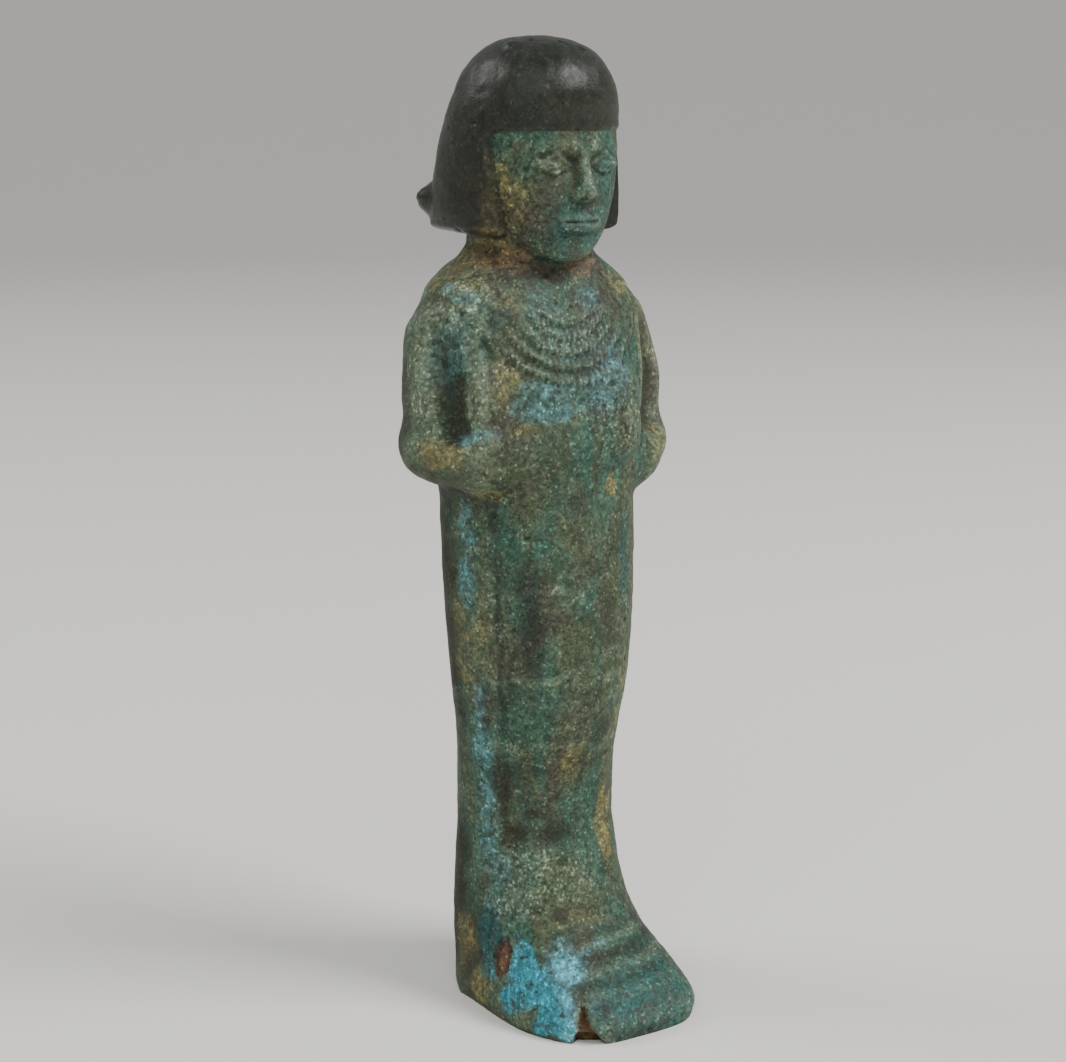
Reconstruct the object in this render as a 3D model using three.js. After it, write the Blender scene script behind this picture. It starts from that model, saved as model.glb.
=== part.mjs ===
// Ushabti figurine of glazed faience: a mummiform figure with a short wig, a collar of bead strings,
// folded arms and forward feet, pressed in one piece in an open mould and finished by hand.
//
// Units are millimetres, +Z up. The figure stands on its flat sole at z = 0 and faces -Y, so its own
// right hand side is -X. The origin is the point of the sole under the body's upright axis.
//
// The form is a field that is negative inside the figure: lofted masses, rods and ellipsoids joined by
// smooth unions. The skin over it is one closed grid. A row is a level of the figure, a column a bearing
// around its axis, and a vertex is where the ray from the axis leaves the form.
import * as THREE from "three";

const { abs, atan2, cos, hypot, max, min, PI, sin, sqrt } = Math;
const { clamp, degToRad, lerp, smoothstep } = THREE.MathUtils;

// ---------- Driving dimensions ----------
const HEIGHT = 110;
const SOLE_EDGE = 1.6; // height of the rounded edge round the sole
const WAIST = 58; // level just below the elbows
const CHIN = 86.4;
const MOUTH_LEVEL = 90.2;
const NOSE_BASE = 92.7;
const EYE_LEVEL = 96.4;
const BROW_LEVEL = 98.2;

const HEM = 88.3; // the wig's lower edge
const FRINGE = 100; // its edge over the forehead
const CROWN = 101.5; // level at which its dome starts
const WINDOW = { fringe: degToRad(67), hem: degToRad(59) }; // bearing of its front edges

const COLLAR = { x: -1, level: 83.6, inner: 4.9, band: 1.63, bands: 4, relief: 0.34, cut: 0.85 };
const COLLAR_EDGE = COLLAR.inner + COLLAR.band * COLLAR.bands;

const ELBOW = { x: 13.4, y: -1.0, z: { right: 65.9, left: 64.2 } }; // the left arm hangs lower
const SHOULDER = { x: 12.3, y: 0, z: 77.3 };
const FISTS = { right: [4.8, -8.9, 70.8], left: [-10.4, -6.0, 70.8] }; // crossed over the breast

const BLEND = { elbow: 1.5, fist: 1.6, forearm: 1.4, arm: 2.2, hollow: 2.4, neck: 1.2, wig: 0.4 };

// ---------- Small tools ----------
// Union and cut of two fields, rounded over the width k.
const join = (a, b, k) => min(a, b) - max(k - abs(a - b), 0) ** 2 / (4 * k);
const cut = (a, b, k) => -join(-a, b, k);

function ellipsoid(x, y, z, [cx, cy, cz], [rx, ry, rz]) {
  const reach = hypot((x - cx) / rx, (y - cy) / ry, (z - cz) / rz);
  return (reach - 1) * min(rx, ry, rz);
}

// A rod with round ends that tapers from radius ra at a to radius rb at b.
function rod(x, y, z, [ax, ay, az], [bx, by, bz], ra, rb = ra) {
  const [dx, dy, dz] = [bx - ax, by - ay, bz - az];
  const along = (x - ax) * dx + (y - ay) * dy + (z - az) * dz;
  const t = clamp(along / (dx * dx + dy * dy + dz * dz), 0, 1);
  return hypot(x - ax - t * dx, y - ay - t * dy, z - az - t * dz) - lerp(ra, rb, t);
}

// Values given at rising levels, joined by a curve that never overshoots them.
function profile(stations) {
  const slopes = stations.slice(1).map((b, i) => {
    const a = stations[i];
    return b.map((v, k) => (v - a[k]) / (b[0] - a[0]));
  });
  const tangents = stations.map((station, i) =>
    station.map((_, k) => {
      const [before, after] = [slopes[i - 1]?.[k], slopes[i]?.[k]];
      if (before === undefined || after === undefined) return before ?? after;
      return before * after > 0 ? (2 * before * after) / (before + after) : 0;
    }),
  );
  const top = stations.length - 1;
  return (z) => {
    if (z <= stations[0][0]) return stations[0];
    if (z >= stations[top][0]) return stations[top];
    const i = stations.findIndex((station) => station[0] > z) - 1;
    const [a, b] = [stations[i], stations[i + 1]];
    const span = b[0] - a[0];
    const t = (z - a[0]) / span;
    const ease = t * t * (3 - 2 * t);
    const leave = span * t * (1 - t) ** 2;
    const arrive = span * t * t * (t - 1);
    return a.map((v, k) => lerp(v, b[k], ease) + leave * tangents[i][k] + arrive * tangents[i + 1][k]);
  };
}

const BACK_SQUARE = 2.2;

// How far out a point lies in a squared oval: 1 on its outline. Its two halves have their own depth,
// and the one behind is nearly round.
function across(x, y, halfWidth, front, back, squareFront) {
  const [depth, square] = y < 0 ? [front, squareFront] : [back, BACK_SQUARE];
  return (abs(x / halfWidth) ** square + abs(y / depth) ** square) ** (1 / square);
}

// ---------- Body, shoulders and neck ----------
// Level, half width, depth before the axis, depth behind it, squareness of the front.
const bodyAt = profile([
  [0, 10.5, 21.8, 2.2, 3.5], // sole
  [SOLE_EDGE, 10.8, 22.1, 3.0, 3.4],
  [4, 10.6, 20.4, 4.3, 3.0], // toes
  [8, 10.2, 15.1, 5.7, 2.6],
  [12, 9.9, 11.6, 6.2, 2.5], // instep
  [16, 9.7, 10.0, 6.3, 2.4],
  [22, 9.4, 8.9, 6.4, 2.35], // ankle
  [28, 9.4, 9.3, 6.3, 2.35],
  [32, 9.6, 10.4, 6.1, 2.35],
  [40, 10.5, 11.6, 6.0, 2.35], // knee
  [50, 11.4, 11.3, 6.2, 2.35],
  [WAIST, 11.5, 10.9, 6.5, 2.35],
  [64, 12.2, 10.4, 7.4, 2.35], // elbows
  [70, 12.8, 9.9, 8.4, 2.35],
  [76, 13.4, 9.0, 9.3, 2.35], // breast
  [80, 13.4, 7.9, 9.8, 2.35],
  [82.5, 12.3, 6.8, 9.9, 2.35], // shoulder
  [84.5, 10.3, 6.0, 9.0, 2.35],
  [86.2, 8.0, 5.4, 7.4, 2.35],
  [87.6, 7.0, 5.4, 6.9, 2.35], // neck
  [94, 6.8, 5.4, 6.4, 2.35],
]);
const NECK_TOP = 94;
const FOOT_SHIFT = -0.3; // the feet sit a little to the figure's right
const TOE_SKEW = 0.13; // the toes of the left foot reach farther forward
const FOOT_FLARE = 0.1; // the feet are wider at the toes than at the heel

function body(x, y, z) {
  const [, halfWidth, front, back, square] = bodyAt(z);
  const shift = FOOT_SHIFT * (1 - smoothstep(z, 4, 20));
  const skew = TOE_SKEW * (1 - smoothstep(z, 2, 8)) * smoothstep(-y, 6, 16);
  const flare = FOOT_FLARE * (1 - smoothstep(z, 4, 12)) * (smoothstep(-y, 0, 14) - 0.4);
  const out = across((x - shift) / (1 + flare), y + skew * x, halfWidth, front, back, square);
  const column = (out - 1) * min(halfWidth, back);
  return max(column, z - NECK_TOP);
}

// ---------- Arms ----------
const HANDS = ["right", "left"];
const UPPER_ARM = { radius: 3.3, flatness: 0.66 }; // deeper than it is wide
const MUSCLE = { x: 12.9, z: 71.6, radii: [3.8, 4.9, 6.2] }; // keeps the upper arm full
const ELBOW_RADII = [3.9, 5.2, 4.0];
const FOREARM = { x: 11.4, y: -5, drop: 1.4, wrist: 66.8, radii: [3.0, 2.7] };
const FIST_RADII = [3.2, 2.0, 3.2];

function arm(x, y, z, hand) {
  const side = hand === "right" ? -1 : 1;
  const shoulder = [side * SHOULDER.x, SHOULDER.y, SHOULDER.z];
  const elbow = [side * ELBOW.x, ELBOW.y, ELBOW.z[hand]];
  const shaft = rod(x, y * UPPER_ARM.flatness, z, shoulder, elbow, UPPER_ARM.radius);
  const muscle = ellipsoid(x, y, z, [side * MUSCLE.x, elbow[1], MUSCLE.z], MUSCLE.radii);
  const upper = join(join(shaft, muscle, BLEND.elbow), ellipsoid(x, y, z, elbow, ELBOW_RADII), BLEND.elbow);
  const bend = [side * FOREARM.x, FOREARM.y, elbow[2] - FOREARM.drop];
  const fist = FISTS[hand];
  const wrist = [fist[0] - side * 0.6, fist[1] + 0.3, FOREARM.wrist];
  const lower = rod(x, y, z, bend, wrist, ...FOREARM.radii);
  const forearm = join(lower, ellipsoid(x, y, z, fist, FIST_RADII), BLEND.fist);
  return join(upper, forearm, BLEND.forearm);
}

// The hollow between the upper arm and the breast, a wedge that is wide under the shoulder. The one
// beside the left arm is hardly more than a groove.
const HOLLOWS = {
  right: { top: [16.9, -4.5, 77.6], tip: [15.4, -5.8, 68.8], wide: 3.3, narrow: 1.7 },
  left: { top: [14.0, -5.8, 77.6], tip: [13.6, -6.0, 67.5], wide: 1.5, narrow: 1.2 },
};
function armHollow(x, y, z, hand) {
  const side = hand === "right" ? -1 : 1;
  const { top, tip, wide, narrow } = HOLLOWS[hand];
  return rod(x, y, z, [side * top[0], top[1], top[2]], [side * tip[0], tip[1], tip[2]], wide, narrow);
}

// ---------- Head ----------
const faceAt = profile([
  [CHIN - 1.4, 2.0, 4.6],
  [CHIN - 0.2, 4.2, 7.3],
  [CHIN + 0.8, 5.5, 8.2],
  [MOUTH_LEVEL - 1.6, 6.9, 8.7],
  [MOUTH_LEVEL + 0.6, 7.9, 9.1],
  [94, 8.8, 9.4],
  [98, 9.1, 9.3],
  [104, 8.6, 8.8],
]);

const EYE = { x: 3.4, socket: [2.7, 1.4, 1.4], ball: [2.3, 1.5, 1.1] };
const FACE_SQUARE = 2.3;
const FACE_BACK = 5;

function face(x, y, z) {
  const [, halfWidth, front] = faceAt(z);
  const oval = across(x, y, halfWidth, front, FACE_BACK, FACE_SQUARE);
  const mask = (oval - 1) * min(halfWidth, front);
  let form = max(mask, CHIN - 1.4 - z, z - CROWN);
  for (const side of [-1, 1]) {
    form = cut(form, ellipsoid(x, y, z, [side * EYE.x, -10.1, EYE_LEVEL], EYE.socket), 1.0);
    form = join(form, ellipsoid(x, y, z, [side * EYE.x, -7.7, EYE_LEVEL], EYE.ball), 0.25);
    const brow = [side * 5.8, -6.9, BROW_LEVEL - 0.2];
    form = join(form, rod(x, y, z, [side * 1.2, -8.8, BROW_LEVEL], brow, 0.7, 0.5), 0.8);
  }
  const tip = [0, -10.1, NOSE_BASE + 0.8];
  form = join(form, rod(x, y, z, [0, -8.9, BROW_LEVEL - 0.5], tip, 0.5, 0.95), 0.9);
  form = join(form, ellipsoid(x, y, z, [0, -9.4, NOSE_BASE + 0.6], [1.7, 0.9, 0.8]), 0.6);
  form = join(form, ellipsoid(x, y, z, [0, -8.9, MOUTH_LEVEL], [2.4, 0.8, 0.9]), 0.7);
  return join(form, ellipsoid(x, y, z, [0, -7.0, CHIN + 1.4], [2.4, 1.6, 1.5]), 1.4);
}

const wigAt = profile([
  [HEM, 10.0, 8.6, 12.0],
  [HEM + 3, 10.3, 9.0, 12.0],
  [96, 10.2, 9.3, 10.4],
  [FRINGE, 9.8, 9.3, 8.8],
  [104, 9.1, 9.9, 7.2],
]);
const WIG_SQUARE = 2.15;
const DOME_SQUARE = 2.3;
const HEM_ROUNDING = 1.3;
const LEAN = { x: 0.3, y: -0.4 }; // the crown's highest point is a little off the axis
const LUMP = { centre: [-6.8, 8.8, 92.2], radii: [2.4, 2.4, 2.1] }; // left over from the mould

// Bearing of the wig's front edge beside the face.
const windowBearing = (z) => lerp(WINDOW.hem, WINDOW.fringe, clamp((z - HEM) / (FRINGE - HEM), 0, 1));

function wig(x, y, z) {
  const [, halfWidth, front, back] = wigAt(z);
  const dome = max((z - CROWN) / (HEIGHT - CROWN), 0);
  const hem = max((HEM + HEM_ROUNDING - z) / HEM_ROUNDING, 0);
  const out = across(x - dome * LEAN.x, y - dome * LEAN.y, halfWidth, front, back, WIG_SQUARE);
  const reach = (out ** DOME_SQUARE + max(dome, hem) ** DOME_SQUARE) ** (1 / DOME_SQUARE);
  const edge = windowBearing(z);
  const beside = -y * sin(edge) - abs(x) * cos(edge);
  const opening = -join(beside, FRINGE - z, 1.6);
  const lump = ellipsoid(x, y, z, LUMP.centre, LUMP.radii);
  return join(cut((reach - 1) * halfWidth, opening, 0.5), lump, 1.2);
}

// ---------- Collar ----------
// Strings of beads in rings about the throat: a raised field with a groove along each string.
function collar(x, y, z) {
  const out = hypot(x - COLLAR.x, z - COLLAR.level);
  const raised = 1 - smoothstep(out, COLLAR_EDGE - 0.2, COLLAR_EDGE + 0.5);
  const turn = (out - COLLAR.inner) / COLLAR.band;
  const round = abs(atan2(x - COLLAR.x, COLLAR.level - z));
  const worn = smoothstep(round, degToRad(42), degToRad(60));
  const groove = out > COLLAR.inner - 0.4 ? (0.5 + 0.5 * cos(2 * PI * turn)) * (1 - worn) : 0;
  const onBreast = smoothstep(-y, -2, 2) * smoothstep(COLLAR.level + 1 - z, 0, 2);
  return COLLAR.relief * raised * (1 - COLLAR.cut * groove) * onBreast;
}

function figure(x, y, z) {
  let form = body(x, y, z) - collar(x, y, z);
  for (const hand of HANDS) form = join(form, arm(x, y, z, hand), BLEND.arm);
  for (const hand of HANDS) form = cut(form, armHollow(x, y, z, hand), BLEND.hollow);
  if (z < CHIN - 4) return form; // the head has no part so low
  form = join(form, face(x, y, z), BLEND.neck);
  return join(form, wig(x, y, z), BLEND.wig);
}

// ---------- The skin ----------
const OUTSIDE = 32; // farther from the axis than any part of the figure
const STEP = 0.5;
const HALVINGS = 16;

// Distance along the ray at which it leaves the form.
function surface([ox, oy, oz], [rx, ry, rz]) {
  const at = (d) => figure(ox + d * rx, oy + d * ry, oz + d * rz);
  let outside = OUTSIDE;
  while (outside > STEP && at(outside - STEP) > 0) outside -= STEP;
  let inside = outside - STEP;
  for (let i = 0; i < HALVINGS; i++) {
    const middle = (inside + outside) / 2;
    if (at(middle) > 0) outside = middle;
    else inside = middle;
  }
  return (inside + outside) / 2;
}

const CHEST = 9.8; // depth of the breast under the collar
const STEEPEST = 0.86; // share of a ring at which its row levels out
const RING_ROWS = { outer: COLLAR_EDGE + 0.9, inner: COLLAR.inner - 0.9, count: 18 };

// The level of a row that runs along a ring of the collar in front and level beside and behind it.
function ringLevel(radius, bearing) {
  const side = sin(min(abs(bearing), PI / 2));
  return COLLAR.level - radius * sqrt(1 - min((CHEST * side) / radius, STEEPEST) ** 2);
}

const CROWN_ROWS = 8;

// Each row as the level and the upward tilt of its rays for a bearing.
function rayRows() {
  const rows = [() => ({ level: 0, tilt: 0 })];
  const add = (count, from, to) => {
    for (let i = 1; i <= count; i++) {
      rows.push((bearing) => ({ level: lerp(from(bearing), to(bearing), i / count), tilt: 0 }));
    }
  };
  const flat = (level) => () => level;
  add(2, flat(0), flat(SOLE_EDGE));
  add(8, flat(SOLE_EDGE), flat(14));
  add(8, flat(14), flat(WAIST - 0.5));
  add(6, flat(WAIST - 0.5), flat(ELBOW.z.left));
  add(7, flat(ELBOW.z.left), (bearing) => ringLevel(RING_ROWS.outer, bearing));
  for (let i = 1; i <= RING_ROWS.count; i++) {
    const radius = lerp(RING_ROWS.outer, RING_ROWS.inner, i / RING_ROWS.count);
    rows.push((bearing) => ({ level: ringLevel(radius, bearing), tilt: 0 }));
  }
  add(8, (bearing) => ringLevel(RING_ROWS.inner, bearing), flat(HEM - 0.1));
  add(1, flat(HEM - 0.1), flat(HEM + 0.4));
  add(15, flat(HEM + 0.4), flat(FRINGE - 0.3));
  add(1, flat(FRINGE - 0.3), flat(FRINGE + 0.3));
  add(1, flat(FRINGE + 0.3), flat(CROWN));
  for (let i = 1; i < CROWN_ROWS; i++) {
    rows.push(() => ({ level: CROWN, tilt: (i / CROWN_ROWS) * (PI / 2) }));
  }
  return rows;
}

// Columns on one side: close together in front, one to each side of the wig's edge, wide behind.
const HALF_COLUMNS = 30;
const EDGE_STEP = degToRad(1.6);
function bearings(z) {
  const edge = windowBearing(max(z, HEM));
  const stops = [
    [0, 0],
    [14, edge - EDGE_STEP],
    [15, edge + EDGE_STEP],
    [24, degToRad(112)],
    [HALF_COLUMNS, PI],
  ];
  const half = Array.from({ length: HALF_COLUMNS + 1 }, (_, j) => {
    const i = max(stops.findIndex(([column]) => column >= j) - 1, 0);
    const [[a, from], [b, to]] = [stops[i], stops[i + 1]];
    return lerp(from, to, (j - a) / (b - a));
  });
  const leftHalf = half.slice(1, -1).map((bearing) => -bearing);
  return [...leftHalf.reverse(), ...half];
}

const spineAt = profile([
  [0, -7.5],
  [4, -7.2],
  [12, -3.2],
  [20, -1.0],
  [30, -0.6],
]);

function skin() {
  const rows = rayRows();
  const columns = 2 * HALF_COLUMNS;
  const positions = [];
  for (const row of rows) {
    for (let j = 0; j < columns; j++) {
      const bearing = bearings(row(0).level)[j];
      const { level, tilt } = row(bearing);
      const spine = spineAt(level)[1];
      const ray = [sin(bearing) * cos(tilt), -cos(bearing) * cos(tilt), sin(tilt)];
      const d = surface([0, spine, level], ray);
      positions.push(d * ray[0], spine + d * ray[1], level + d * ray[2]);
    }
  }
  const soleCentre = positions.length / 3;
  positions.push(0, spineAt(0)[1], 0, 0, spineAt(CROWN)[1], HEIGHT);

  const triangles = [];
  for (let j = 0; j < columns; j++) {
    const next = (j + 1) % columns;
    triangles.push(soleCentre, next, j);
    for (let i = 0; i + 1 < rows.length; i++) {
      const [a, b] = [i * columns + j, i * columns + next];
      const [c, d] = [a + columns, b + columns];
      triangles.push(a, b, d, a, d, c);
    }
    const last = (rows.length - 1) * columns;
    triangles.push(last + j, last + next, soleCentre + 1);
  }
  const geometry = new THREE.BufferGeometry();
  geometry.setAttribute("position", new THREE.Float32BufferAttribute(positions, 3));
  geometry.setIndex(triangles);
  geometry.computeVertexNormals();
  return geometry;
}

const faience = new THREE.MeshStandardMaterial({
  name: "weathered faience",
  color: 0x5f7466,
  roughness: 0.62,
  metalness: 0,
});

const figurine = new THREE.Mesh(skin(), faience);
figurine.name = "figurine";

const ushabti = new THREE.Group();
ushabti.add(figurine);
export default ushabti;
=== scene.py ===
"""Ushabti figurine of weathered faience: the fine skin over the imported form, and a plain stage."""

import math

import bpy
import numpy as np
from bpy.props import FloatProperty, FloatVectorProperty, IntProperty, PointerProperty
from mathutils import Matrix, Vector, noise


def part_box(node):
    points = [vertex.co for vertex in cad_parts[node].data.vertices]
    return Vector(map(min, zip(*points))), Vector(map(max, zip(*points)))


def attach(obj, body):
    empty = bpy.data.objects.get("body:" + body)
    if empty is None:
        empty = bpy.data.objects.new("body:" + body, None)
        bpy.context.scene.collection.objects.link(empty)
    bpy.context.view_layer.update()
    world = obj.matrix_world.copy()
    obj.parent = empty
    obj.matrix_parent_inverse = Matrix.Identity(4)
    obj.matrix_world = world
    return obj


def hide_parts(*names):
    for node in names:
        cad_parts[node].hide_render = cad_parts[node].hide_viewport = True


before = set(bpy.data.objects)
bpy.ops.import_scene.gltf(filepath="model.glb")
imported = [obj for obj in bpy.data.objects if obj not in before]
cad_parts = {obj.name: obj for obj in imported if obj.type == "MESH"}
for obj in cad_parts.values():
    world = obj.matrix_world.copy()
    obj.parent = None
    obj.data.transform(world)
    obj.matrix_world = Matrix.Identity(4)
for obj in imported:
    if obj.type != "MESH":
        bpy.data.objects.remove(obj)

bl_info = {
    "name": "Ushabti figurine",
    "version": (1, 0, 0),
    "blender": (4, 5, 0),
    "location": "3D View > Sidebar > Ushabti",
    "description": "Builds a weathered faience ushabti figurine around its packed frame",
    "category": "Add Mesh",
}

# ---------- Driving dimensions, in millimetres of the figurine at its own height ----------
# +Z is up, the figurine faces -Y and its own right hand side is -X.
HEIGHT = 110.0
SOLE_EDGE = 1.6  # height of the rounded edge round the sole
WAIST = 58.0
CHIN = 86.4
MOUTH_LEVEL = 90.2
NOSE_BASE = 92.7
EYE_LEVEL = 96.4
BROW_LEVEL = 98.2
NECK_TOP = 94.0

HEM = 88.3  # the wig's lower edge
FRINGE = 100.0  # its edge over the forehead
CROWN = 101.5  # level at which its dome starts
WINDOW_FRINGE, WINDOW_HEM = math.radians(67), math.radians(59)  # bearing of its front edges
WIG_SQUARE, DOME_SQUARE, HEM_ROUNDING = 2.15, 2.3, 1.3
LEAN_X, LEAN_Y = 0.3, -0.4  # the crown's highest point is a little off the axis
LUMP_CENTRE, LUMP_RADII = (-6.8, 8.8, 92.2), (2.4, 2.4, 2.1)

COLLAR_X, COLLAR_LEVEL = -1.0, 83.6
COLLAR_INNER, COLLAR_BAND, COLLAR_BANDS, COLLAR_RELIEF = 4.9, 1.63, 4, 0.34
COLLAR_EDGE = COLLAR_INNER + COLLAR_BAND * COLLAR_BANDS
CHEST = 9.8

ELBOW_X, ELBOW_Y, ELBOW_Z = 13.4, -1.0, {"right": 65.9, "left": 64.2}
SHOULDER_X, SHOULDER_Y, SHOULDER_Z = 12.3, 0.0, 77.3
FISTS = {"right": (4.8, -8.9, 70.8), "left": (-10.4, -6.0, 70.8)}
UPPER_ARM_RADIUS, UPPER_ARM_FLATNESS = 3.3, 0.66
MUSCLE_X, MUSCLE_Z, MUSCLE_RADII = 12.9, 71.6, (3.8, 4.9, 6.2)
ELBOW_RADII = (3.9, 5.2, 4.0)
FIST_RADII = (3.2, 2.0, 3.2)
HOLLOWS = {  # between the upper arm and the breast: top, tip and their radii
    "right": ((16.9, -4.5, 77.6), (15.4, -5.8, 68.8), 3.3, 1.7),
    "left": ((14.0, -5.8, 77.6), (13.6, -6.0, 67.5), 1.5, 1.2),
}

BACK_SQUARE = 2.2
FOOT_SHIFT, TOE_SKEW, FOOT_FLARE = -0.3, 0.13, 0.1

LOW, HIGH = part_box("figurine")
ALLOWED = 0.8  # how far the skin may stand off the frame's box, in mm
UNIT = (HIGH.z - LOW.z) / HEIGHT  # metres to one millimetre of the named sizes


# ---------- Small tools ----------
def to_linear(colour):
    """An sRGB hex colour as the linear values Blender works with."""
    channels = [int(colour[i : i + 2], 16) / 255 for i in (1, 3, 5)]
    return tuple(c / 12.92 if c <= 0.04045 else ((c + 0.055) / 1.055) ** 2.4 for c in channels)


def smoothstep(value, low, high):
    t = np.clip((value - low) / (high - low), 0, 1)
    return t * t * (3 - 2 * t)


def join(a, b, k):
    """Union of two fields, rounded over the width k."""
    return np.minimum(a, b) - np.maximum(k - np.abs(a - b), 0) ** 2 / (4 * k)


def cut(a, b, k):
    """Field a without what field b holds."""
    return -join(-a, b, k)


def length(x, y, z):
    return np.sqrt(x * x + y * y + z * z)


def ellipsoid(p, centre, radii):
    x, y, z = p
    reach = length(*((v - c) / r for v, c, r in zip((x, y, z), centre, radii)))
    return (reach - 1) * min(radii)


def rod(p, start, end, first, last=None):
    """A rod with round ends that tapers from radius first to radius last."""
    last = first if last is None else last
    x, y, z = p
    dx, dy, dz = (b - a for a, b in zip(start, end))
    along = (x - start[0]) * dx + (y - start[1]) * dy + (z - start[2]) * dz
    t = np.clip(along / (dx * dx + dy * dy + dz * dz), 0, 1)
    away = length(x - start[0] - t * dx, y - start[1] - t * dy, z - start[2] - t * dz)
    return away - (first + (last - first) * t)


def mirrored(point, side):
    return (point[0] * side, point[1], point[2])


def profile(stations):
    """Values given at rising levels, joined by curves that never overshoot them."""
    table = np.array(stations, float)
    levels, values = table[:, 0], table[:, 1:]
    slopes = np.diff(values, axis=0) / np.diff(levels)[:, None]
    before, after = slopes[:-1], slopes[1:]
    same = before * after > 0
    inner = np.where(same, 2 * before * after / np.where(same, before + after, 1), 0)
    tangents = np.vstack([slopes[:1], inner, slopes[-1:]])

    def at(z):
        z = np.clip(z, levels[0], levels[-1])
        i = np.clip(np.searchsorted(levels, z, side="right") - 1, 0, len(levels) - 2)
        span = levels[i + 1] - levels[i]
        t = (z - levels[i]) / span
        ease = t * t * (3 - 2 * t)
        leave, arrive = span * t * (1 - t) ** 2, span * t * t * (t - 1)
        return [
            values[i, k]
            + (values[i + 1, k] - values[i, k]) * ease
            + leave * tangents[i, k]
            + arrive * tangents[i + 1, k]
            for k in range(values.shape[1])
        ]

    return at


def across(x, y, half_width, front, back, square):
    """How far out a point lies in a squared oval whose halves have their own depth."""
    before = y < 0
    depth = np.where(before, front, back)
    power = np.where(before, square, BACK_SQUARE)
    return (np.abs(x / half_width) ** power + np.abs(y / depth) ** power) ** (1 / power)


# ---------- The form, the same as the frame's: negative inside ----------
BODY_AT = profile(
    [  # level, half width, depth before the axis, depth behind it, squareness of the front
        (0, 10.5, 21.8, 2.2, 3.5),
        (SOLE_EDGE, 10.8, 22.1, 3.0, 3.4),
        (4, 10.6, 20.4, 4.3, 3.0),
        (8, 10.2, 15.1, 5.7, 2.6),
        (12, 9.9, 11.6, 6.2, 2.5),
        (16, 9.7, 10.0, 6.3, 2.4),
        (22, 9.4, 8.9, 6.4, 2.35),
        (28, 9.4, 9.3, 6.3, 2.35),
        (32, 9.6, 10.4, 6.1, 2.35),
        (40, 10.5, 11.6, 6.0, 2.35),
        (50, 11.4, 11.3, 6.2, 2.35),
        (WAIST, 11.5, 10.9, 6.5, 2.35),
        (64, 12.2, 10.4, 7.4, 2.35),
        (70, 12.8, 9.9, 8.4, 2.35),
        (76, 13.4, 9.0, 9.3, 2.35),
        (80, 13.4, 7.9, 9.8, 2.35),
        (82.5, 12.3, 6.8, 9.9, 2.35),
        (84.5, 10.3, 6.0, 9.0, 2.35),
        (86.2, 8.0, 5.4, 7.4, 2.35),
        (87.6, 7.0, 5.4, 6.9, 2.35),
        (NECK_TOP, 6.8, 5.4, 6.4, 2.35),
    ]
)
FACE_AT = profile(
    [  # level, half width, depth before the axis
        (CHIN - 1.4, 2.0, 4.6),
        (CHIN - 0.2, 4.2, 7.3),
        (CHIN + 0.8, 5.5, 8.2),
        (MOUTH_LEVEL - 1.6, 6.9, 8.7),
        (MOUTH_LEVEL + 0.6, 7.9, 9.1),
        (94, 8.8, 9.4),
        (98, 9.1, 9.3),
        (104, 8.6, 8.8),
    ]
)
WIG_AT = profile(
    [
        (HEM, 10.0, 8.6, 12.0),
        (HEM + 3, 10.3, 9.0, 12.0),
        (96, 10.2, 9.3, 10.4),
        (FRINGE, 9.8, 9.3, 8.8),
        (104, 9.1, 9.9, 7.2),
    ]
)
SPINE_AT = profile([(0, -7.5), (4, -7.2), (12, -3.2), (20, -1.0), (30, -0.6)])


def body(p):
    x, y, z = p
    half_width, front, back, square = BODY_AT(z)
    shift = FOOT_SHIFT * (1 - smoothstep(z, 4, 20))
    skew = TOE_SKEW * (1 - smoothstep(z, 2, 8)) * smoothstep(-y, 6, 16)
    flare = 1 + FOOT_FLARE * (1 - smoothstep(z, 4, 12)) * (smoothstep(-y, 0, 14) - 0.4)
    column = across((x - shift) / flare, y + skew * x, half_width, front, back, square) - 1
    return np.maximum(column * np.minimum(half_width, back), z - NECK_TOP)


def arm(p, hand):
    x, y, z = p
    side = -1 if hand == "right" else 1
    shoulder = (side * SHOULDER_X, SHOULDER_Y, SHOULDER_Z)
    elbow = (side * ELBOW_X, ELBOW_Y, ELBOW_Z[hand])
    shaft = rod((x, y * UPPER_ARM_FLATNESS, z), shoulder, elbow, UPPER_ARM_RADIUS)
    muscle = ellipsoid(p, (side * MUSCLE_X, elbow[1], MUSCLE_Z), MUSCLE_RADII)
    upper = join(join(shaft, muscle, 1.5), ellipsoid(p, elbow, ELBOW_RADII), 1.5)
    fist = FISTS[hand]
    wrist = (fist[0] - side * 0.6, fist[1] + 0.3, 66.8)
    lower = rod(p, (side * 11.4, -5, elbow[2] - 1.4), wrist, 3.0, 2.7)
    return join(upper, join(lower, ellipsoid(p, fist, FIST_RADII), 1.6), 1.4)


def arm_hollow(p, hand):
    """The hollow between the upper arm and the breast, wide under the shoulder."""
    side = -1 if hand == "right" else 1
    top, tip, wide, narrow = HOLLOWS[hand]
    return rod(p, mirrored(top, side), mirrored(tip, side), wide, narrow)


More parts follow.
